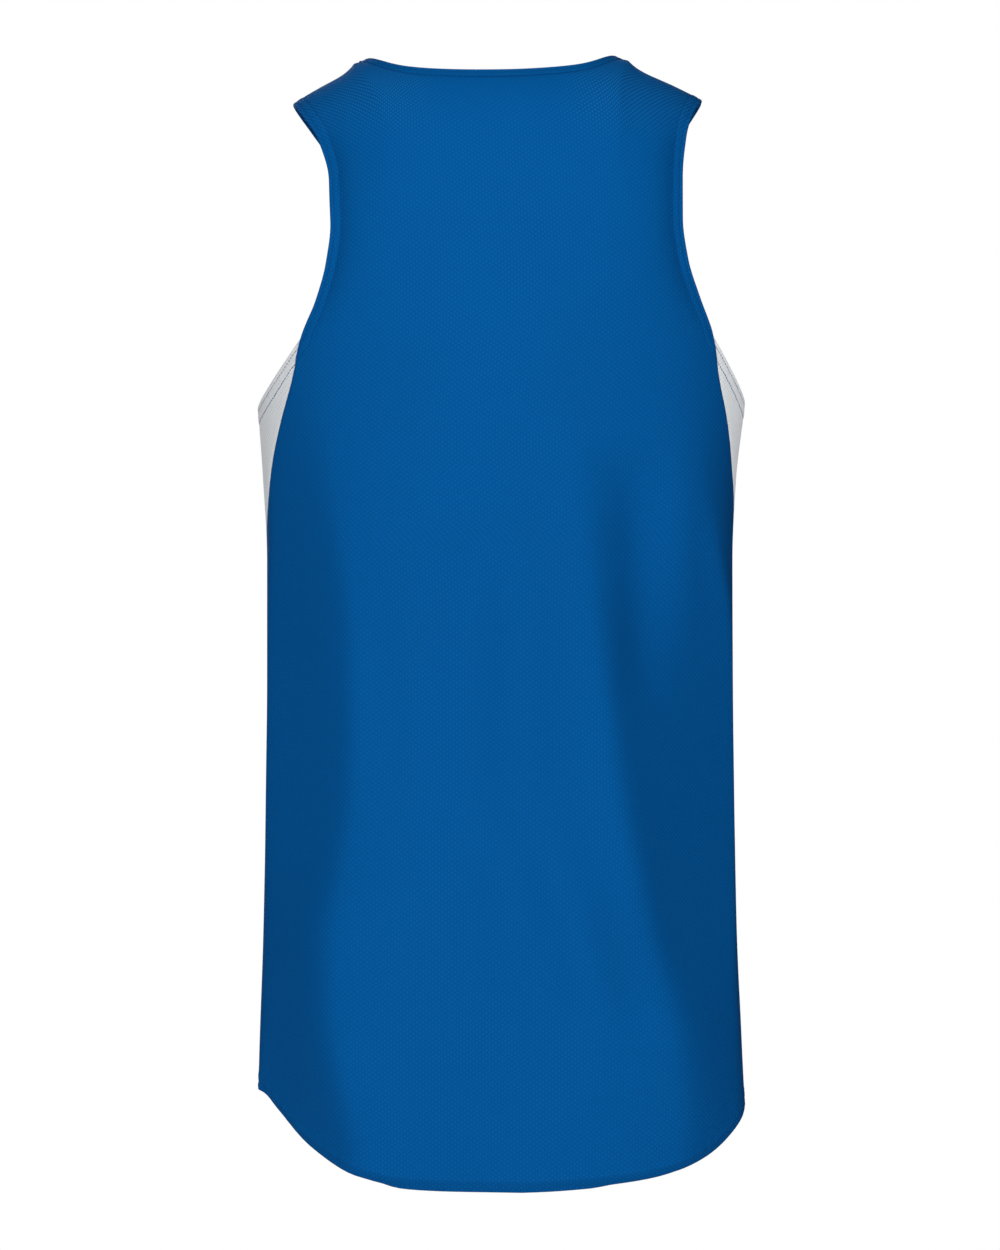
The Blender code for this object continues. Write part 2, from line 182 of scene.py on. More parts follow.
def curveAt(source, name, place):
    places = next(iter(source.values()))
    values = source[name]
    slopes = levelSlopes(places, values)
    row = np.clip(np.searchsorted(places, place) - 1, 0, len(places) - 2)
    span = places[row + 1] - places[row]
    t = np.clip((place - places[row]) / span, 0.0, 1.0)
    bend = t * (1 - t) ** 2 * slopes[row] - t * t * (1 - t) * slopes[row + 1]
    return mix(values[row], values[row + 1], softStep(t)) + span * bend


def foldLift(x, y, z):
    total = np.zeros_like(x)
    for facing, topX, topZ, lowX, lowZ, bow, halfWidth, lift in zip(*folds.values()):
        run = (topZ - z) / (topZ - lowZ)
        crest = mix(topX, lowX, run) + bow * 4 * run * (1 - run)
        fade = wornForm["foldFade"]
        ends = softStep((topZ - z) / fade) * softStep((z - lowZ) / fade + 1.0)
        side = softStep(facing * y / wornForm["foldSide"])
        total += lift * ridge(x - crest, halfWidth) * ends * side
    return total


def fallAway(x, y, z, wide, deep, square):  # cut the section by its side plane, a little softly
    side = x > 0
    startX, slope = [np.where(side, curveAt(sidePlanes, "left" + what, z),
                              curveAt(sidePlanes, "right" + what, z)) for what in ("X", "Slope")]
    startY = deep * np.clip(1 - (startX / wide) ** square, 0, 1) ** (1 / square)
    plane = startY - slope * (np.abs(x) - startX)
    soft = wornForm["creaseSoft"] * np.clip(y / wornForm["creaseStart"], 0, 1)
    cut = (y + plane) / 2 - np.sqrt(((y - plane) / 2) ** 2 + soft ** 2) + soft / 2
    return np.where(y > 0, mix(y, np.minimum(y, cut), curveAt(sidePlanes, "cut", z)), y)


def formPoint(turn, z, rounding):  # turn is 0 at the left side and 90 at the centre back
    cosine = np.cos(np.radians(turn))
    sine = np.sin(np.radians(turn))
    square = curveAt(sections, "square", z)
    wide = np.where(cosine > 0, curveAt(sections, "left", z), curveAt(sections, "right", z))
    deep = np.where(sine > 0, curveAt(sections, "back", z), curveAt(sections, "front", z))
    x = wide * np.sign(cosine) * np.abs(cosine) ** (2.0 / square)
    y = deep * np.sign(sine) * np.abs(sine) ** (2.0 / square)
    outX = np.sign(x) * np.abs(x / wide) ** (square - 1) / wide
    outY = np.sign(y) * np.abs(y / deep) ** (square - 1) / deep
    length = np.hypot(outX, outY)
    y = fallAway(x, y, z, wide, deep, square) * rounding
    lift = foldLift(x, y, z)
    return np.stack([x + lift * outX / length, y + lift * outY / length, z], axis=-1)


def tilt(height):  # how much higher the right edge lies than the left one
    low, high = wornForm["hemCorner"], wornForm["shoulderTip"]
    return mix(wornForm["hemTilt"], wornForm["tipTilt"], (height - low) / (high - low))


def unit(vectors):
    return vectors / np.linalg.norm(vectors, axis=-1, keepdims=True)


# The two panels
backPanel = {
    "name": "backPanel",
    "node": "back_panel",
    "slot": "back_mesh",
    "side": "back",
    "facing": 1,
    "rounding": 110.0,   # height over which the shoulder rounds back
    "square": 3.0,       # how square that curve is: 2 is an ellipse
    "neckTurn": 41.8,    # how far round that curve the middle of the neck edge lies
    "neckPower": 0.12,
    "tailShare": 1.0,
    "shoulderRows": 64,
    "flat": (0.48, 0.79),
    "area": 0.283,
    "held": "hung",
}
frontPanel = {
    "name": "frontPanel",
    "node": "front_panel",
    "slot": "front_mesh",
    "side": "front",
    "facing": -1,
    "rounding": 145.0,
    "square": 2.3,
    "neckTurn": 77.6,
    "neckPower": 0.30,
    "tailShare": 0.85,
    "shoulderRows": 84,
    "flat": (0.50, 0.76),
    "area": 0.255,
    "held": "hung",
}

# How finely the cloth is laid out
gridSteps = {
    "neckSearch": 2001,
    "neckColumns": 71,
    "shoulderColumns": 22,
    "wallRows": (116, 50),   # below the inserts' tips, and beside the inserts
    "yokeStep": 2.7,
    "panelRound": 300.0,     # length round a panel between its armholes
    "hemSpread": 1.15,
    "insertRows": 46,
    "insertColumns": 57,
    "normalStep": 0.5,
    "normalShare": 0.0005,
}


def panelTurn(panel, share, height):
    left = curveAt(edges, panel["side"] + "Left", height)
    right = 180.0 - curveAt(edges, panel["side"] + "Right", height)
    return panel["facing"] * mix(left, right, share)


def topAcross(panel, share):
    tip = wornForm["shoulderTip"]
    return formPoint(panelTurn(panel, share, tip), tip + 0 * share, 1.0)[..., 0]


def neckShares(panel):
    share = np.linspace(0.0, 1.0, gridSteps["neckSearch"])
    across = topAcross(panel, share)
    return [float(np.interp(-x, -across, share)) for x in wornForm["neckX"]]


def bendOff(along):  # goes from a level line into a slope of 1, through 0 at 0 and 1 at 1
    soft = wornForm["neckSoft"]
    rise = (along + np.sqrt(along ** 2 + soft ** 2)) / 2
    return (rise - soft / 2) / ((1 + math.sqrt(1 + soft ** 2)) / 2 - soft / 2)


def panelTop(panel, share):  # height of the shoulder line, and the turn at which a column ends
    neckX, neckZ = wornForm["neckX"], wornForm["neckZ"]
    tip, bow = wornForm["shoulderTip"], wornForm["shoulderBow"]
    left, right = neckShares(panel)
    x = topAcross(panel, share)
    tips = topAcross(panel, np.array([0.0, 1.0]))
    halves = []
    for end, tipZ in ((0, tip), (1, tip + wornForm["tipTilt"])):
        along = (x - neckX[end]) / (tips[end] - neckX[end])
        near = np.clip(along, 0, 1)
        peak = wornForm["bowPeak"]
        bowed = bow * near / peak * np.exp(1 - near / peak) * (1 - near ** 2)
        halves.append(mix(neckZ[end], tipZ, bendOff(along) + bowed))
    line = mix(*halves, softStep((share - left) / (right - left)))
    middle, half = sum(neckX) / 2, (neckX[0] - neckX[1]) / 2
    inside = np.clip(1 - ((x - middle) / half) ** 2, 0, 1)
    start = 1 - np.exp(-inside / wornForm["neckCorner"])
    return line, panel["neckTurn"] * start * inside ** panel["neckPower"]


def panelPoint(panel, share, height, rounded):
    line = panelTop(panel, share)[0]
    turned = np.radians(rounded)
    inward = 2 * np.minimum(share, 1 - share)
    left, right = curveAt(shirtTail, "left", inward), curveAt(shirtTail, "right", inward)
    tail = panel["tailShare"] * np.where(share < 0.5, left, right)
    tailLeft = 1 - softStep((height - wornForm["hemCorner"]) / wornForm["tailFade"])
    tips = wornForm["shoulderTip"] + wornForm["tipTilt"] * share
    junction = wornForm["junction"]
    start = wornForm["shoulderTip"] - panel["rounding"]
    level = height + tilt(height) * share - tail * tailLeft
    level = level + (line - tips) * softStep((height - junction) / (start - junction))
    square = panel["square"]
    reach = (np.abs(np.cos(turned)) ** square + np.abs(np.sin(turned)) ** square) ** (-1 / square)
    rise = panel["rounding"] * reach * np.cos(turned)
    forward = reach * np.sin(turned)
    return formPoint(panelTurn(panel, share, height + rise), level + rise, forward)


def insertPoint(side, share, height):  # share goes from the back seam to the front seam
    backTurn, frontTurn = (curveAt(edges, end + side, height) for end in ("back", "front"))
    turn = mix(backTurn, -frontTurn, share)
    dip = wornForm["armholeDip"][0 if side == "Left" else 1]
    dip = dip * (1 - np.abs(2 * share - 1) ** wornForm["dipPower"])
    low, high = wornForm["goreTip"], wornForm["junction"]
    z = height - dip * softStep((height - low) / (high - low))
    if side == "Right":
        turn = 180.0 - turn
        z = z + tilt(height)
    return formPoint(turn, z, 1.0)


def stepsThrough(places, counts):  # even steps between places, so many in each stretch
    parts = [np.linspace(a, b, n, endpoint=False) for a, b, n in zip(places, places[1:], counts)]
    return np.concatenate(parts + [places[-1:]])


def layGrid(place, shares, heights, turn):
    share, height = np.meshgrid(shares, heights)
    onShoulder = turn < 90.0
    step, stepShare = gridSteps["normalStep"], gridSteps["normalShare"]
    stepHeight = np.where(onShoulder, 0.0, step)
    stepTurn = np.where(onShoulder, -step, 0.0)
    points = place(share, height, turn)
    along = place(share + stepShare, height, turn) - place(share - stepShare, height, turn)
    above = place(share, height + stepHeight, turn + stepTurn)
    normals = unit(np.cross(along, above - place(share, height - stepHeight, turn - stepTurn)))
    if np.sum(normals[..., :2] * points[..., :2]) < 0:
        normals = -normals
    return {"points": points, "normals": normals}


edgeSteps = (0.0, 0.3, 0.8, 1.4, 2.0, 2.6, 3.3, 4.2, 5.2, 6.2, 7.2, 8.0, 8.6, 9.2, 9.9, 10.8, 12.0)


def panelGrid(panel):
    steps = gridSteps
    edge = np.array(edgeSteps) / steps["panelRound"]
    left, right = neckShares(panel)
    angles = np.linspace(0, np.pi, steps["neckColumns"])
    crowded = (1 - np.cos(angles)) / 2  # closest together at the neck points
    shoulderLeft = np.linspace(edge[-1], left, steps["shoulderColumns"])[1:]
    shoulderRight = np.linspace(right, 1 - edge[-1], steps["shoulderColumns"])[:-1]
    neck = mix(left, right, crowded[1:-1])
    shares = np.concatenate([edge, shoulderLeft, neck, shoulderRight, 1 - edge[::-1]])
    hem = wornForm["hemCorner"] + np.array(edgeSteps) * steps["hemSpread"]
    start = wornForm["shoulderTip"] - panel["rounding"]
    stops = [hem[-1], wornForm["goreClose"], wornForm["junction"], start]
    yokeRows = max(3, round((start - wornForm["junction"]) / steps["yokeStep"]))
    heights = np.concatenate([hem[:-1], stepsThrough(stops, (*steps["wallRows"], yokeRows))])
    rows = len(heights)
    heights = np.concatenate([heights, np.full(panel["shoulderRows"], start)])
    rowTurns = np.full(len(heights), 90.0)
    rowTurns[rows:] = np.linspace(90, 0, panel["shoulderRows"] + 1)[1:]
    lastTurns = panelTop(panel, shares)[1]
    turns = lastTurns + np.outer(rowTurns / 90.0, 90.0 - lastTurns)
    grid = layGrid(lambda s, h, t: panelPoint(panel, s, h, t), shares, heights, turns)
    grid["heights"] = heights
    grid["shares"] = shares
    grid["wallRows"] = rows
    grid["neck"] = (shares > left - tiny) & (shares < right + tiny)
    return grid


def insertGrid(side):
    low, high = wornForm["goreTip"], wornForm["junction"]
    edge = high - np.array(edgeSteps)[::-1]
    heights = np.concatenate([np.linspace(low, edge[0], gridSteps["insertRows"])[:-1], edge])
    shares = np.linspace(0, 1, gridSteps["insertColumns"])
    turns = np.full((len(heights), len(shares)), 90.0)
    grid = layGrid(lambda s, h, t: insertPoint(side, s, h), shares, heights, turns)
    grid["heights"] = heights
    grid["shares"] = shares
    return grid


back = panelGrid(backPanel)
front = panelGrid(frontPanel)
inserts = {"Left": insertGrid("Left"), "Right": insertGrid("Right")}
print("form laid out:", back["points"].shape[:2], front["points"].shape[:2])


def distanceTo(points, line):  # to a line of points, and how far along it the nearest place is
    nearest = np.full(points.shape[:-1], 1e9)
    along = np.zeros(points.shape[:-1])
    run = 0.0
    for start, end in zip(line[:-1], line[1:]):
        step = end - start
        length = np.linalg.norm(step)
        if length < 1e-9:
            continue
        t = np.clip((points - start) @ step / length ** 2, 0, 1)
        gap = np.linalg.norm(points - start - t[..., None] * step, axis=-1)
        closer = gap < nearest
        nearest = np.where(closer, gap, nearest)
        along = np.where(closer, run + t * length, along)
        run += length
    return nearest, along


def armholeLine(side):  # from the shoulder tip at the back, under the arm, to the front tip
    column = 0 if side == "Left" else -1
    ends = []
    for grid in (back, front):
        rows = grid["heights"] >= wornForm["junction"] - tiny
        ends.append(grid["points"][rows, column])
    top = inserts[side]["points"][-1]
    return np.concatenate([ends[0][::-1], top[1:-1], ends[1]])


def seamLines(side):
    column = 0 if side == "Left" else -1
    lines = []
    for grid in (back, front):
        rows = grid["heights"] <= wornForm["junction"] + tiny
        lines.append(grid["points"][rows, column])
    return lines


armholes = {side: armholeLine(side) for side in ("Left", "Right")}
seams = {side: seamLines(side) for side in ("Left", "Right")}
neckBack = back["points"][-1, back["neck"]]
neckFront = front["points"][-1, front["neck"]]
neckLine = np.concatenate([neckBack, neckFront[-2:0:-1], neckBack[:1]])

# How the cloth is finished at its edges
edgeFinish = {
    "clothThickness": 0.9,
    "hemThickness": 1.9,
    "hemStep": 0.9,         # how softly the turned hem ends
    "roundEdge": 0.9,
    "thinnest": 0.02,       # share of the wall left at the very edge
    "armholeDepth": 9.2,
    "underarmWiden": 0.3,   # how much broader the turned hem is under the arm
    "armholeGrooves": ((3.2, 0.30, 0.7), (8.5, 0.50, 0.8)),   # place, depth, half width
    "hemDepth": 10.0,
    "hemGrooves": ((5.2, 0.50, 1.5), (8.6, 0.25, 0.7)),
    "hemRoll": (-0.5, 6.0, 4.6),   # the hem's edge rolls in at the back and front
    "hemPuff": 0.30,
    "puffZone": (1.5, 0.6, 1.2),      # rises over, reaches past the hem by, fades over
    "seamGroove": 0.55,
    "seamHalfWidth": 1.3,
    "seamStart": 1.5,
    "pucker": 0.16,
    "puckerPitch": 9.0,
    "puckerDrift": (1.3, 23.0),       # how unevenly the puckers lie, and over what length
    "puckerZone": (3.0, 7.0, 8.0),
    "sink": 9.0,         # how far the cloth falls back towards the armhole hem
    "sinkWidth": 10.0,
    "sinkStart": 7.5,
    "sinkZone": (-36.0, 40.0, -196.0, 60.0),   # top, its fade, low end, its fade
}


def fromArmhole(grid, side):  # distance from an armhole's edge, and how far round it
    near, along = distanceTo(grid["points"], armholes[side])
    return near / grid.get("widen", 1.0), along


def turnedHem(distance, along, depth, grooves):  # outer relief of a hem turned in and stitched
    e = edgeFinish
    start, past, fade = e["puffZone"]
    relief = e["hemPuff"] * softStep(distance / start) * softStep((depth + past - distance) / fade)
    for row, groove, halfWidth in grooves:
        relief = relief - groove * ridge(distance - row, halfWidth)
    uneven, drift = e["puckerDrift"]
    wave = np.sin(along * 2 * np.pi / e["puckerPitch"] + uneven * np.sin(along / drift))
    start, past, fade = e["puckerZone"]
    zone = softStep(distance / start) * softStep((depth + past - distance) / fade)
    return relief + e["pucker"] * wave * zone


def thicken(distance, depth):  # wall thickness near a turned hem, rounded off at the very edge
    e = edgeFinish
    wall = mix(e["hemThickness"], e["clothThickness"], softStep((distance - depth) / e["hemStep"]))
    share = np.clip(distance / e["roundEdge"], 0, 1)
    return wall, np.sqrt(np.clip(1 - (1 - share) ** 2, e["thinnest"], 1))


def finishGrid(grid, hemmed, facing):
    points, normals = grid["points"], grid["normals"]
    e = edgeFinish
    relief = np.zeros(points.shape[:2])
    thickness = np.full(points.shape[:2], e["clothThickness"])
    rounded = np.ones(points.shape[:2])
    push = np.zeros(points.shape[:2])
    sinkTop, topFade, sinkLow, lowFade = e["sinkZone"]
    for side in ("Left", "Right"):
        near, along = fromArmhole(grid, side)
        relief += turnedHem(near, along, e["armholeDepth"], e["armholeGrooves"])
        wall, edge = thicken(near, e["armholeDepth"])
        thickness = np.maximum(thickness, wall)
        rounded = np.minimum(rounded, edge)
        window = softStep((sinkTop - points[..., 2]) / topFade)
        window = window * softStep((points[..., 2] - sinkLow) / lowFade)
        inwards = np.maximum(near - e["sinkStart"], 0)
        push -= e["sink"] * np.exp(-inwards / e["sinkWidth"]) * window
        for line in seams[side]:
            gap = distanceTo(points, line)[0]
            groove = e["seamGroove"] * ridge(gap, e["seamHalfWidth"])
            relief -= groove * softStep(near / e["seamStart"])
    if hemmed:
        near, along = distanceTo(points, points[0])
        relief += turnedHem(near, along, e["hemDepth"], e["hemGrooves"])
        place, depth, halfWidth = e["hemRoll"]
        relief -= depth * ridge(near - place, halfWidth) * normals[..., 1] ** 2
        wall, edge = thicken(near, e["hemDepth"])
        thickness = np.maximum(thickness, wall)
        rounded = np.minimum(rounded, edge)
        gap = distanceTo(points, neckLine)[0]
        relief -= e["seamGroove"] * ridge(gap, e["seamHalfWidth"])
    outer = points + normals * (relief - (1 - rounded) * thickness / 2)[..., None]
    outer[..., 1] += facing * push
    inner = outer - normals * (thickness * rounded)[..., None]
    grid["outer"], grid["inner"] = outer, inner


for panel, grid in ((backPanel, back), (frontPanel, front)):
    finishGrid(grid, True, panel["facing"])
for side in inserts:
    grid = inserts[side]
    inMiddle = softStep(4 * grid["shares"] * (1 - grid["shares"]))
    grid["widen"] = 1 + edgeFinish["underarmWiden"] * inMiddle
    finishGrid(grid, False, 0)
print("edges finished")


def clothMap(grid):  # flat cloth coordinates in metres: across and up the grain
    points = grid["points"]
    middle = points.shape[1] // 2
    level = np.linalg.norm(np.diff(points[..., :2], axis=1), axis=-1)
    across = np.concatenate([np.zeros((len(points), 1)), np.cumsum(level, axis=1)], axis=1)
    across = across - across[:, middle:middle + 1]
    rise = np.linalg.norm(np.diff(points, axis=0), axis=-1)
    rows = grid.get("wallRows", len(points))
    up = points[..., 2].copy()
    for row in range(rows, len(points)):
        up[row] = up[row - 1] + rise[row - 1]
    return np.stack([across, up], axis=-1) * mm


def gridFaces(rows, columns, first):
    row, column = np.meshgrid(np.arange(rows - 1), np.arange(columns - 1), indexing="ij")
    corner = first + row * columns + column
    around = (0, 1, columns + 1, columns)
    return np.stack([corner + step for step in around], axis=-1).reshape(-1, 4)


def rimFaces(rows, columns, offset):
    bottom = list(range(columns))
    right = [row * columns + columns - 1 for row in range(1, rows)]
    top = [(rows - 1) * columns + column for column in range(columns - 2, -1, -1)]
    left = [row * columns for row in range(rows - 2, 0, -1)]
    loop = np.array(bottom + right + top + left)
    after = np.roll(loop, -1)
    return np.stack([loop, loop + offset, after + offset, after], axis=-1)


def makePiece(name, points, faces, uv, material):
    mesh = bpy.data.meshes.new(name)
    mesh.from_pydata((points * mm).tolist(), [], faces.tolist())
    layer = mesh.uv_layers.new(name="clothMap")
    corners = np.empty(len(mesh.loops), int)
    mesh.loops.foreach_get("vertex_index", corners)
    layer.data.foreach_set("uv", uv[corners].astype(np.float32).ravel())
    shape = bmesh.new()
    shape.from_mesh(mesh)
    bmesh.ops.recalc_face_normals(shape, faces=shape.faces)
    shape.to_mesh(mesh)
    shape.free()
    mesh.shade_smooth()
    mesh.materials.append(material)
    piece = bpy.data.objects.new(name, mesh)
    bpy.context.scene.collection.objects.link(piece)
    return piece


def makeCloth(name, grid, material):
    rows, columns = grid["outer"].shape[:2]
    count = rows * columns
    outer = gridFaces(rows, columns, 0)
    inner = gridFaces(rows, columns, count)[:, ::-1]
    faces = np.concatenate([outer, inner, rimFaces(rows, columns, count)])
    points = np.concatenate([grid["outer"].reshape(-1, 3), grid["inner"].reshape(-1, 3)])
    uv = clothMap(grid).reshape(-1, 2)
    return makePiece(name, points, faces, np.concatenate([uv, uv]), material)


# Materials
def newGroup(name, inputs, outputs):
    group = bpy.data.node_groups.new(name, "ShaderNodeTree")
    for label, kind, value in inputs:
        socket = group.interface.new_socket(label, in_out="INPUT", socket_type=kind)
        if value is not None:
            socket.default_value = value
    for label, kind in outputs:
        group.interface.new_socket(label, in_out="OUTPUT", socket_type=kind)
    return group, group.nodes.new("NodeGroupInput"), group.nodes.new("NodeGroupOutput")


def mathNode(tree, operation, first, second=None, third=None):
    node = tree.nodes.new("ShaderNodeMath")
    node.operation = operation
    for socket, value in zip(node.inputs, (first, second, third)):
        if value is None:
            continue
        if isinstance(value, (int, float)):
            socket.default_value = value
        else:
            tree.links.new(value, socket)
    return node.outputs[0]


# How fine the mesh and its knit are, and where a painted highlight lightens its holes over the
# shoulders
clothFields = {
    "pitch": (0.00397, 0.00287),   # across and up
    "holeRadius": 0.0006,
    "holeRim": (0.5, 1.5),         # where a hole's rim starts and ends, in radii
    "loop": (0.0008, 0.0006),      # width and height
    "toneScale": 14.0,
    "toneDetail": 4.0,
    "sheenShare": 0.40,
    "sheenUp": (-0.07, -0.02),
    "sheenAcross": (0.03, 0.075),
}


def buildPinMesh():  # rows of small holes, each row shifted by half a pitch
    group, given, result = newGroup("pinMesh", [
        ("Vector", "NodeSocketVector", None),
        ("Pitch Across", "NodeSocketFloat", clothFields["pitch"][0]),
        ("Pitch Up", "NodeSocketFloat", clothFields["pitch"][1]),
        ("Hole Radius", "NodeSocketFloat", clothFields["holeRadius"]),
    ], [("Hole", "NodeSocketFloat"), ("Height", "NodeSocketFloat")])
    split = group.nodes.new("ShaderNodeSeparateXYZ")
    group.links.new(given.outputs["Vector"], split.inputs[0])
    spots = []
    for shift in (0.0, 0.5):
        squares = []
        for axis, pitch in (("X", "Pitch Across"), ("Y", "Pitch Up")):
            cells = mathNode(group, "DIVIDE", split.outputs[axis], given.outputs[pitch])
            moved = mathNode(group, "ADD", cells, shift)
            local = mathNode(group, "SUBTRACT", mathNode(group, "FRACT", moved), 0.5)
            size = mathNode(group, "MULTIPLY", local, given.outputs[pitch])
            squares.append(mathNode(group, "MULTIPLY", size, size))
        spots.append(mathNode(group, "SQRT", mathNode(group, "ADD", *squares)))
    nearest = mathNode(group, "MINIMUM", *spots)
    share = mathNode(group, "DIVIDE", nearest, given.outputs["Hole Radius"])
    curve = group.nodes.new("ShaderNodeMapRange")
    curve.interpolation_type = "SMOOTHSTEP"
    ends = zip(("From Min", "From Max", "To Min", "To Max"), (*clothFields["holeRim"], 1.0, 0.0))
    for label, value in ends:
        curve.inputs[label].default_value = value
    group.links.new(share, curve.inputs["Value"])
    group.links.new(curve.outputs[0], result.inputs["Hole"])
    group.links.new(mathNode(group, "SUBTRACT", 1.0, curve.outputs[0]), result.inputs["Height"])
    return group


def buildKnitGrain():  # fine loops of the knit and slow changes of tone
    group, given, result = newGroup("knitGrain", [
        ("Vector", "NodeSocketVector", None),
        ("Place", "NodeSocketVector", None),
        ("Loop Width", "NodeSocketFloat", clothFields["loop"][0]),
        ("Loop Height", "NodeSocketFloat", clothFields["loop"][1]),
    ], [("Tone", "NodeSocketFloat"), ("Height", "NodeSocketFloat")])
    split = group.nodes.new("ShaderNodeSeparateXYZ")
    group.links.new(given.outputs["Vector"], split.inputs[0])
    waves = []
    for axis, pitch in (("X", "Loop Width"), ("Y", "Loop Height")):
        turns = mathNode(group, "DIVIDE", split.outputs[axis], given.outputs[pitch])
        waves.append(mathNode(group, "SINE", mathNode(group, "MULTIPLY", turns, 2 * math.pi)))
    loops = mathNode(group, "MULTIPLY", *waves)
    tone = group.nodes.new("ShaderNodeTexNoise")
    tone.inputs["Scale"].default_value = clothFields["toneScale"]
    tone.inputs["Detail"].default_value = clothFields["toneDetail"]
    group.links.new(given.outputs["Place"], tone.inputs["Vector"])
    group.links.new(loops, result.inputs["Height"])
    group.links.new(tone.outputs["Fac"], result.inputs["Tone"])
    return group


def buildShoulderSheen():  # painted highlight mask: 0 over most of the garment, rising over the shoulders
    group, given, result = newGroup("shoulderSheen", [
        ("Place", "NodeSocketVector", None),
        ("Most", "NodeSocketFloat", clothFields["sheenShare"]),
    ], [("Sheen", "NodeSocketFloat")])
    split = group.nodes.new("ShaderNodeSeparateXYZ")
    group.links.new(given.outputs["Place"], split.inputs[0])
    aside = mathNode(group, "ABSOLUTE", split.outputs["X"])
    shares = []
    for value, (start, end) in ((split.outputs["Z"], clothFields["sheenUp"]),
                                (aside, clothFields["sheenAcross"])):
        rise = group.nodes.new("ShaderNodeMapRange")
        rise.interpolation_type = "SMOOTHSTEP"
        rise.inputs["From Min"].default_value = start
        rise.inputs["From Max"].default_value = end
        group.links.new(value, rise.inputs["Value"])
        shares.append(rise.outputs[0])
    sheenShare = mathNode(group, "MULTIPLY", mathNode(group, "MULTIPLY", *shares), given.outputs["Most"])
    group.links.new(sheenShare, result.inputs["Sheen"])
    return group


pinMesh = buildPinMesh()
shoulderSheen = buildShoulderSheen()
knitGrain = buildKnitGrain()

clothLooks = {
    "royalMesh": {
        "color": (0.0016, 0.111, 0.386),
        # lighter than the cloth at each hole: painted highlight on the knit's relief
        "dot": (0.004, 0.20, 0.60),
        "dotShare": 0.36,
        "shoulderSheenDot": (0.040, 0.290, 0.680),   # painted highlight on the holes over the shoulders
        "toneShare": 0.10,
        "roughness": 0.74,
        "holeDepth": 0.00022,
    },
    "bandMesh": {
        "color": (0.0015, 0.104, 0.345),
        # lighter than the band at each hole: painted highlight on the knit's relief
        "dot": (0.006, 0.13, 0.40),
        "dotShare": 0.3,
        "shoulderSheenDot": (0.006, 0.13, 0.40),
        "toneShare": 0.08,
        "roughness": 0.72,
        "holeDepth": 0.00012,
    },
    "whiteMesh": {
        "color": (0.69, 0.71, 0.73),
        "dot": (0.52, 0.55, 0.59),
        "dotShare": 0.5,
        "shoulderSheenDot": (0.52, 0.55, 0.59),
        "toneShare": 0.04,
        "roughness": 0.74,
        "holeDepth": 0.00022,
    },
}
clothFinish = {"bump": 0.6, "loopBump": 0.12, "roughSpread": 0.12, "specular": 0.015}
threadColors = {"royalThread": (0.003, 0.065, 0.235), "paleThread": (0.010, 0.170, 0.520)}
threadFinish = {"twistScale": 900.0, "shades": (0.7, 1.3), "roughness": 0.7, "specular": 0.06}


def makeClothMaterial(name, look):
    material = bpy.data.materials.new(name)
    material.use_nodes = True
    tree = material.node_tree
    shader = tree.nodes["Principled BSDF"]
    uv = tree.nodes.new("ShaderNodeUVMap")
    uv.uv_map = "clothMap"
    place = tree.nodes.new("ShaderNodeTexCoord")
    pins = tree.nodes.new("ShaderNodeGroup")
    pins.node_tree = pinMesh
    tree.links.new(uv.outputs["UV"], pins.inputs["Vector"])
    grain = tree.nodes.new("ShaderNodeGroup")
    grain.node_tree = knitGrain
    tree.links.new(uv.outputs["UV"], grain.inputs["Vector"])
    tree.links.new(place.outputs["Object"], grain.inputs["Place"])
    # each hole is mixed toward the look's dot colour; on the blue cloths this is a painted
    # highlight
    dotted = tree.nodes.new("ShaderNodeMix")
    dotted.data_type = "RGBA"
    dotted.inputs["A"].default_value = (*look["color"], 1)
    dotted.inputs["B"].default_value = (*look["dot"], 1)
    share = mathNode(tree, "MULTIPLY", pins.outputs["Hole"], look["dotShare"])
    tree.links.new(share, dotted.inputs["Factor"])
    sheenMix = tree.nodes.new("ShaderNodeMix")  # painted highlight on the holes over the shoulders
    sheenMix.data_type = "RGBA"
    sheenMix.inputs["B"].default_value = (*look["shoulderSheenDot"], 1)
    tree.links.new(dotted.outputs["Result"], sheenMix.inputs["A"])
    sheenNode = tree.nodes.new("ShaderNodeGroup")
    sheenNode.node_tree = shoulderSheen
    tree.links.new(place.outputs["Object"], sheenNode.inputs["Place"])
    tree.links.new(mathNode(tree, "MULTIPLY", sheenNode.outputs["Sheen"], pins.outputs["Hole"]),
                   sheenMix.inputs["Factor"])
    toned = tree.nodes.new("ShaderNodeHueSaturation")
    tree.links.new(sheenMix.outputs["Result"], toned.inputs["Color"])
    value = mathNode(tree, "MULTIPLY_ADD", grain.outputs["Tone"], look["toneShare"],
                     1.0 - look["toneShare"] / 2)
    tree.links.new(value, toned.inputs["Value"])
    tree.links.new(toned.outputs["Color"], shader.inputs["Base Color"])
    spread = clothFinish["roughSpread"]
    rough = mathNode(tree, "MULTIPLY_ADD", grain.outputs["Tone"], spread,
                     look["roughness"] - spread / 2)
    tree.links.new(rough, shader.inputs["Roughness"])
    height = mathNode(tree, "MULTIPLY_ADD", grain.outputs["Height"], clothFinish["loopBump"],
                      pins.outputs["Height"])
    bump = tree.nodes.new("ShaderNodeBump")
    bump.inputs["Strength"].default_value = clothFinish["bump"]
    bump.inputs["Distance"].default_value = look["holeDepth"]
    tree.links.new(height, bump.inputs["Height"])
    tree.links.new(bump.outputs["Normal"], shader.inputs["Normal"])
    shader.inputs["Specular IOR Level"].default_value = clothFinish["specular"]
    material.diffuse_color = (*look["color"], 1)
    return material


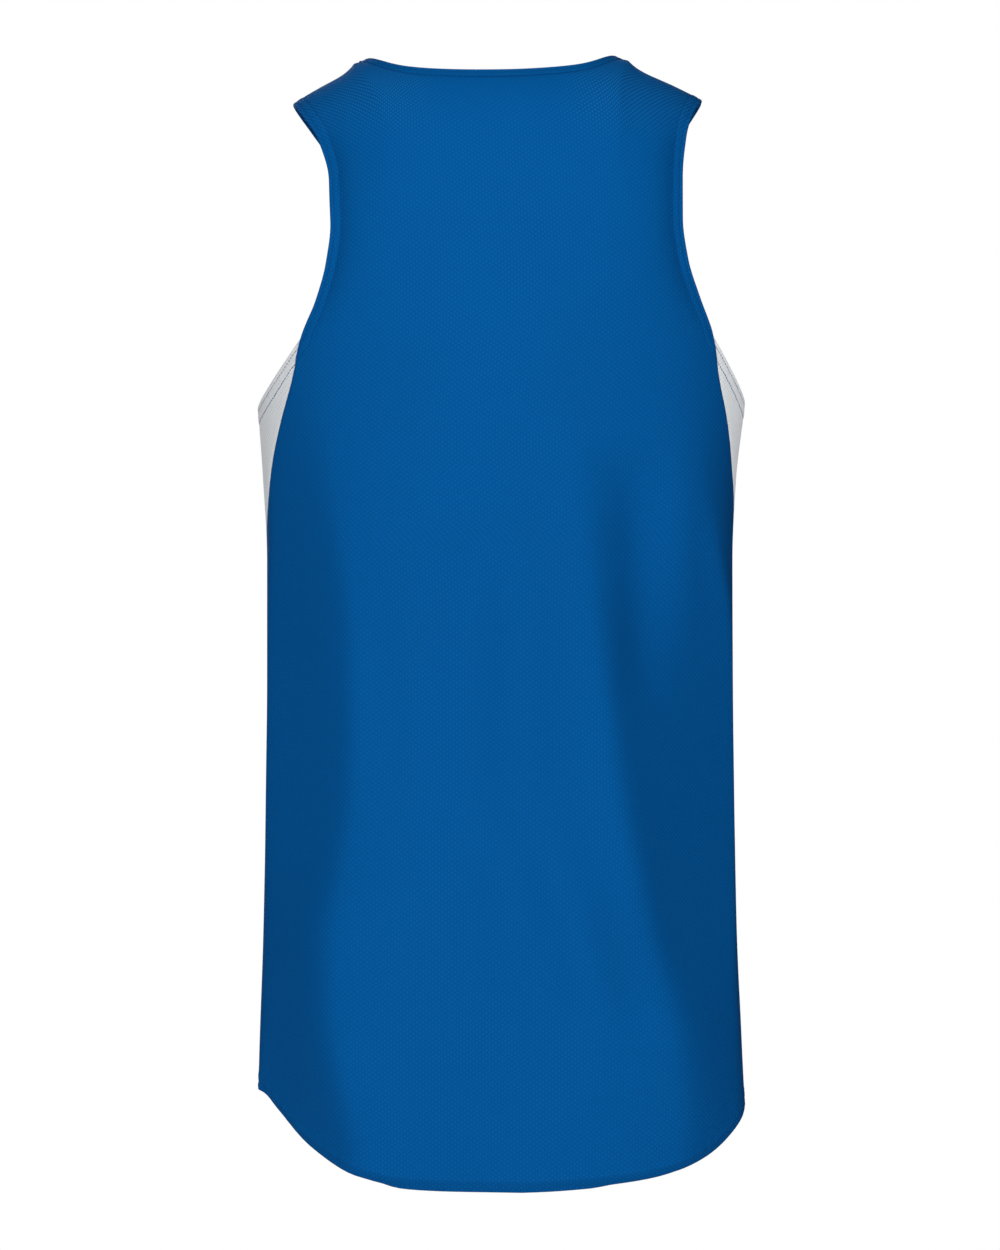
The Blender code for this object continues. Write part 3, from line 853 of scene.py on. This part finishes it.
def makeThreadMaterial(name, color):
    material = bpy.data.materials.new(name)
    material.use_nodes = True
    tree = material.node_tree
    shader = tree.nodes["Principled BSDF"]
    place = tree.nodes.new("ShaderNodeTexCoord")
    twist = tree.nodes.new("ShaderNodeTexNoise")
    twist.inputs["Scale"].default_value = threadFinish["twistScale"]
    tree.links.new(place.outputs["Object"], twist.inputs["Vector"])
    shade = tree.nodes.new("ShaderNodeMix")
    shade.data_type = "RGBA"
    for label, tone in zip("AB", threadFinish["shades"]):
        shade.inputs[label].default_value = (*[c * tone for c in color], 1)
    tree.links.new(twist.outputs["Fac"], shade.inputs["Factor"])
    tree.links.new(shade.outputs["Result"], shader.inputs["Base Color"])
    shader.inputs["Roughness"].default_value = threadFinish["roughness"]
    shader.inputs["Specular IOR Level"].default_value = threadFinish["specular"]
    material.diffuse_color = (*color, 1)
    return material


royalMesh, bandMesh, whiteMesh = [makeClothMaterial(*item) for item in clothLooks.items()]
royalThread, paleThread = [makeThreadMaterial(*item) for item in threadColors.items()]
print("materials ready")

cloths = {}
for panel, grid in ((backPanel, back), (frontPanel, front)):
    cloths[panel["name"]] = makeCloth(panel["name"], grid, royalMesh)
for side in inserts:
    name = side.lower() + "Insert"
    cloths[name] = makeCloth(name, inserts[side], whiteMesh)
print("panels and inserts made")

# Neck band
neckBand = {
    "node": "neck_band",
    "slot": "neck_band_mesh",
    "height": 6.0,
    "thickness": 2.2,
    "lean": 0.25,
    "seamGap": 0.1,
    "row": 2.3,          # stitch row below the top edge
    "grooveDepth": 0.55,
    "grooveHalfWidth": 0.7,
    "profileSteps": (12, 9, 6),   # up the outer side, over the top, down the inner side
    "flat": (0.67, 0.010),
    "area": 0.0052,
    "held": "stretched",
}


def joinEnds(backEdge, frontEdge):
    loop = np.concatenate([backEdge, frontEdge[-2:0:-1]])
    loop[0] = (backEdge[0] + frontEdge[0]) / 2
    loop[len(backEdge) - 1] = (backEdge[-1] + frontEdge[-1]) / 2
    return loop


def bandProfile():  # up the outer side, over the top and down the inner side: across, up
    high, half = neckBand["height"], neckBand["thickness"] / 2
    outerSteps, topSteps, innerSteps = neckBand["profileSteps"]
    places = []
    for up in np.linspace(0, high - half, outerSteps):
        off = (high - up - neckBand["row"]) / neckBand["grooveHalfWidth"]
        places.append((half - neckBand["grooveDepth"] * math.exp(-off ** 2), up))
    for angle in np.linspace(0, 180, topSteps)[1:-1]:
        lean = math.radians(angle)
        places.append((half * math.cos(lean), high - half + half * math.sin(lean)))
    places += [(-half, up) for up in np.linspace(high - half, 0, innerSteps)]
    return places


def makeBand():
    outer = joinEnds(back["outer"][-1, back["neck"]], front["outer"][-1, front["neck"]])
    inner = joinEnds(back["inner"][-1, back["neck"]], front["inner"][-1, front["neck"]])
    along = unit(np.roll(outer, -1, axis=0) - np.roll(outer, 1, axis=0))
    normals = unit(outer - inner)
    inward = unit(np.cross(along, normals))
    if np.sum(inward * (outer.mean(axis=0) - outer)) < 0:
        inward = -inward
    rise = unit(inward + neckBand["lean"] * normals[:, 2:] * normals)
    middle = (outer + inner) / 2 + inward * neckBand["seamGap"]
    rings = [middle + normals * across + rise * up for across, up in bandProfile()]
    count, levels = len(outer), len(rings)
    length = np.concatenate([[0], np.cumsum(np.linalg.norm(np.diff(outer, axis=0), axis=-1))])
    faces = []
    for level in range(levels):
        above = (level + 1) % levels
        for step in range(count):
            after = (step + 1) % count
            faces.append((level * count + step, level * count + after,
                          above * count + after, above * count + step))
    uv = np.array([(run, up) for across, up in bandProfile() for run in length]) * mm
    rowUp = neckBand["height"] - neckBand["row"]
    stitched = np.argmin([abs(rowUp - up) if across > 0 else math.inf
                          for across, up in bandProfile()])
    band = makePiece("neckBand", np.concatenate(rings), np.array(faces), uv, bandMesh)
    return band, rings[stitched]


cloths["neckBand"], bandRow = makeBand()
print("neck band made")

# Stitches
stitching = {
    "armholeEdge": {"from": 3.2, "pitch": 2.7, "length": 2.3, "thickness": 0.42},
    "armholeInner": {"from": 8.5, "pitch": 2.5, "length": 2.5, "thickness": 0.55},
    "hem": {"from": 8.6, "pitch": 3.1, "length": 1.5, "thickness": 0.36},
    "neck": {"pitch": 2.7, "length": 1.9, "thickness": 0.30},
}
stitchSides = (6, 5)  # sides and rings of one stitch


def contour(grid, distance, along, level, byRow):  # where a grid crosses a distance from an edge
    points = grid["outer"]
    if not byRow:
        points, distance, along = points.swapaxes(0, 1), distance.T, along.T
    found = []
    for row in range(points.shape[0]):
        gap = distance[row] - level
        cross = np.nonzero(gap[:-1] * gap[1:] < 0)[0]
        for c in cross:
            t = gap[c] / (gap[c] - gap[c + 1])
            found.append((mix(along[row, c], along[row, c + 1], t),
                          mix(points[row, c], points[row, c + 1], t)))
    return found


def armholeRow(side, level):
    found = []
    for grid, byRow in ((back, True), (front, True), (inserts[side], False)):
        near, along = fromArmhole(grid, side)
        found += contour(grid, near, along, level, byRow)
    found.sort(key=lambda item: item[0])
    return np.array([point for place, point in found])


def hemRow(level):
    searchTop = wornForm["hemCorner"] + 40  # the row lies well below this
    loop = []
    for grid, turned in ((back, False), (front, True)):
        near, along = distanceTo(grid["points"], grid["points"][0])
        keep = grid["heights"] < searchTop
        part = {"outer": grid["outer"][keep]}
        found = contour(part, near[keep], along[keep], level, False)
        found.sort(key=lambda item: item[0])
        row = [point for place, point in found]
        loop += row[::-1] if turned else row
    return np.array(loop)


def buildStitchTree():
    tree = bpy.data.node_groups.new("stitchRow", "GeometryNodeTree")
    tree.interface.new_socket("Path", in_out="INPUT", socket_type="NodeSocketGeometry")
    for label in ("Pitch", "Length", "Thickness"):
        tree.interface.new_socket(label, in_out="INPUT", socket_type="NodeSocketFloat")
    tree.interface.new_socket("Thread", in_out="INPUT", socket_type="NodeSocketMaterial")
    tree.interface.new_socket("Stitches", in_out="OUTPUT", socket_type="NodeSocketGeometry")
    given, result = tree.nodes.new("NodeGroupInput"), tree.nodes.new("NodeGroupOutput")
    path = tree.nodes.new("GeometryNodeMeshToCurve")
    spaced = tree.nodes.new("GeometryNodeResampleCurve")
    spaced.mode = "LENGTH"
    tangent = tree.nodes.new("GeometryNodeInputTangent")
    turn = tree.nodes.new("FunctionNodeAlignRotationToVector")
    turn.axis = "Z"
    stitch = tree.nodes.new("GeometryNodeMeshUVSphere")
    stitch.inputs["Segments"].default_value = stitchSides[0]
    stitch.inputs["Rings"].default_value = stitchSides[1]
    stitch.inputs["Radius"].default_value = 0.5
    size = tree.nodes.new("ShaderNodeCombineXYZ")
    placed = tree.nodes.new("GeometryNodeInstanceOnPoints")
    real = tree.nodes.new("GeometryNodeRealizeInstances")
    paint = tree.nodes.new("GeometryNodeSetMaterial")
    join = tree.links.new
    join(given.outputs["Path"], path.inputs["Mesh"])
    join(path.outputs["Curve"], spaced.inputs["Curve"])
    join(given.outputs["Pitch"], spaced.inputs["Length"])
    join(spaced.outputs["Curve"], placed.inputs["Points"])
    join(stitch.outputs["Mesh"], placed.inputs["Instance"])
    join(tangent.outputs[0], turn.inputs["Vector"])
    join(turn.outputs[0], placed.inputs["Rotation"])
    join(given.outputs["Thickness"], size.inputs["X"])
    join(given.outputs["Thickness"], size.inputs["Y"])
    join(given.outputs["Length"], size.inputs["Z"])
    join(size.outputs[0], placed.inputs["Scale"])
    join(placed.outputs["Instances"], real.inputs["Geometry"])
    join(real.outputs["Geometry"], paint.inputs["Geometry"])
    join(given.outputs["Thread"], paint.inputs["Material"])
    join(paint.outputs["Geometry"], result.inputs["Stitches"])
    return tree


stitchTree = buildStitchTree()


def makeStitches(name, lines, closed, row, thread):
    points, links = [], []
    for line in lines:
        first = len(points)
        points += (line * mm).tolist()
        links += [(first + i, first + i + 1) for i in range(len(line) - 1)]
        if closed:
            links.append((len(points) - 1, first))
    mesh = bpy.data.meshes.new(name + "Path")
    mesh.from_pydata(points, links, [])
    piece = bpy.data.objects.new(name, mesh)
    bpy.context.scene.collection.objects.link(piece)
    sew = piece.modifiers.new("sew", "NODES")
    sew.node_group = stitchTree
    values = {"Pitch": row["pitch"] * mm, "Length": row["length"] * mm,
              "Thickness": row["thickness"] * mm, "Thread": thread}
    for socket in stitchTree.interface.items_tree:
        if socket.name in values:
            sew[socket.identifier] = values[socket.name]
    bpy.context.view_layer.update()
    seen = piece.evaluated_get(bpy.context.evaluated_depsgraph_get())
    sewn = bpy.data.meshes.new_from_object(seen)
    sewn.name = name
    sewn.shade_smooth()
    piece.modifiers.remove(sew)
    piece.data = sewn
    bpy.data.meshes.remove(mesh)
    return piece


threads = {}
for label in ("armholeEdge", "armholeInner"):
    row = stitching[label]
    lines = [armholeRow(side, row["from"]) for side in armholes]
    threads[label] = makeStitches(label + "Stitches", lines, False, row, royalThread)
for label, line, thread in (("hem", hemRow(stitching["hem"]["from"]), paleThread),
                            ("neck", bandRow, royalThread)):
    threads[label] = makeStitches(label + "Stitches", [line], True, stitching[label], thread)
print("stitches sewn:", {name: len(piece.data.polygons) for name, piece in threads.items()})

# Which CAD node each piece stands for, and how its cloth was cut
standsFor = {
    "backPanel": backPanel,
    "frontPanel": frontPanel,
    "leftInsert": {"node": "side_insert_left", "slot": "left_insert_mesh",
                   "flat": (0.17, 0.14), "area": 0.0100, "held": "hung"},
    "rightInsert": {"node": "side_insert_right", "slot": "right_insert_mesh",
                    "flat": (0.16, 0.14), "area": 0.0096, "held": "hung"},
    "neckBand": neckBand,
}
for name, cut in standsFor.items():
    piece = cloths[name]
    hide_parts(cut["node"])
    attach(piece, "root")
for piece in threads.values():
    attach(piece, "root")

# Studio
studio = {
    "cameraAway": 3.0,
    "cameraUp": -0.3685,
    "pictureHeight": 0.8125,   # what the picture's long side takes in at the origin
    "sensor": 36.0,
    "middle": (0.0, 0.0, -0.37),
    "floorUp": -1.25,
    "floorRadius": 14.0,
    "floorSides": 96,
    "floorTone": 0.9,
    "floorRoughness": 0.9,
    "floorFade": (1.4, 3.0, 0.85),   # from, to, and how bright it shows nearest
    "ambient": 0.09,
}
# Soft lights aimed at the middle: place, power, width and height
softLights = {
    "key": ((0.12, 3.45, 0.55), 74.0, 1.8, 1.8),
    "fillFront": ((0.6, -3.2, 0.6), 60.0, 2.2, 2.0),
    "sideLeft": ((2.6, 0.6, 0.2), 23.0, 1.5, 1.5),
    "sideRight": ((-2.6, 0.6, 0.2), 34.0, 1.5, 1.5),
}
# A narrow soft beam that keeps the back of the neck from falling dark
topLight = {
    "place": (0.005, 1.1, 1.9),
    "target": (0.005, 0.08, 0.035),
    "power": 76.0,
    "beam": 5.2,
    "blend": 1.0,
    "radius": 0.12,
}


def makeCamera():
    camera = bpy.data.cameras.new("camera")
    camera.sensor_width = studio["sensor"]
    camera.lens = camera.sensor_width * studio["cameraAway"] / studio["pictureHeight"]
    holder = bpy.data.objects.new("camera", camera)
    holder.location = (0.0, studio["cameraAway"], studio["cameraUp"])
    holder.rotation_euler = (math.pi / 2, 0.0, math.pi)
    bpy.context.scene.collection.objects.link(holder)
    bpy.context.scene.camera = holder


def aimLight(holder, place, target):
    away = np.array(place) - np.array(target)
    holder.location = place
    holder.rotation_euler = (math.atan2(math.hypot(away[0], away[1]), away[2]), 0.0,
                             math.atan2(away[0], -away[1]))


def makeSoftLight(name, place, power, wide, high, receivers):
    light = bpy.data.lights.new(name, "AREA")
    light.shape = "RECTANGLE"
    light.size, light.size_y = wide, high
    light.energy = power
    holder = bpy.data.objects.new(name, light)
    aimLight(holder, place, studio["middle"])
    holder.visible_camera = False
    if receivers is not None:
        holder.light_linking.receiver_collection = receivers
    bpy.context.scene.collection.objects.link(holder)


def makeTopLight():
    light = bpy.data.lights.new("top", "SPOT")
    light.energy = topLight["power"]
    light.spot_size = math.radians(topLight["beam"])
    light.spot_blend = topLight["blend"]
    light.shadow_soft_size = topLight["radius"]
    holder = bpy.data.objects.new("top", light)
    aimLight(holder, topLight["place"], topLight["target"])
    bpy.context.scene.collection.objects.link(holder)


def makeStage():
    shape = bmesh.new()
    bmesh.ops.create_circle(shape, cap_ends=True, segments=studio["floorSides"],
                            radius=studio["floorRadius"])
    mesh = bpy.data.meshes.new("studioFloor")
    shape.to_mesh(mesh)
    shape.free()
    mesh.transform(Matrix.Translation((0, 0, studio["floorUp"])))
    floor = bpy.data.objects.new("studioFloor", mesh)
    material = bpy.data.materials.new("paleFloor")
    material.use_nodes = True
    tree = material.node_tree
    shader = tree.nodes["Principled BSDF"]
    tone = studio["floorTone"]
    shader.inputs["Base Color"].default_value = (tone, tone, tone, 1)
    shader.inputs["Roughness"].default_value = studio["floorRoughness"]
    glow = tree.nodes.new("ShaderNodeEmission")
    glow.inputs["Strength"].default_value = 1.0
    path = tree.nodes.new("ShaderNodeLightPath")
    blend = tree.nodes.new("ShaderNodeMixShader")
    place = tree.nodes.new("ShaderNodeTexCoord")
    away = tree.nodes.new("ShaderNodeVectorMath")
    away.operation = "LENGTH"
    tree.links.new(place.outputs["Object"], away.inputs[0])
    fade = tree.nodes.new("ShaderNodeMapRange")
    for label, value in zip(("From Min", "From Max", "To Min"), studio["floorFade"]):
        fade.inputs[label].default_value = value
    tree.links.new(away.outputs["Value"], fade.inputs["Value"])
    shown = mathNode(tree, "MULTIPLY", path.outputs["Is Camera Ray"], fade.outputs[0])
    tree.links.new(shown, blend.inputs[0])
    tree.links.new(shader.outputs[0], blend.inputs[1])
    tree.links.new(glow.outputs[0], blend.inputs[2])
    tree.links.new(blend.outputs[0], tree.nodes["Material Output"].inputs["Surface"])
    mesh.materials.append(material)
    bpy.context.scene.collection.objects.link(floor)


def makeWorld():
    world = bpy.data.worlds.new("studioWorld")
    world.use_nodes = True
    tree = world.node_tree
    light = tree.nodes["Background"]
    light.inputs["Color"].default_value = (1, 1, 1, 1)
    light.inputs["Strength"].default_value = studio["ambient"]
    white = tree.nodes.new("ShaderNodeBackground")
    white.inputs["Color"].default_value = (1, 1, 1, 1)
    white.inputs["Strength"].default_value = 1.0
    path = tree.nodes.new("ShaderNodeLightPath")
    blend = tree.nodes.new("ShaderNodeMixShader")
    tree.links.new(path.outputs["Is Camera Ray"], blend.inputs[0])
    tree.links.new(light.outputs[0], blend.inputs[1])
    tree.links.new(white.outputs[0], blend.inputs[2])
    tree.links.new(blend.outputs[0], tree.nodes["World Output"].inputs["Surface"])
    bpy.context.scene.world = world


litBySides = bpy.data.collections.new("litBySides")  # only the pale inserts catch the side lights
for name in ("leftInsert", "rightInsert"):
    litBySides.objects.link(cloths[name])
makeCamera()
for name, settings in softLights.items():
    makeSoftLight(name, *settings, litBySides if name.startswith("side") else None)
makeTopLight()
makeStage()
makeWorld()
bpy.context.scene.view_settings.view_transform = "Standard"
print("studio set")
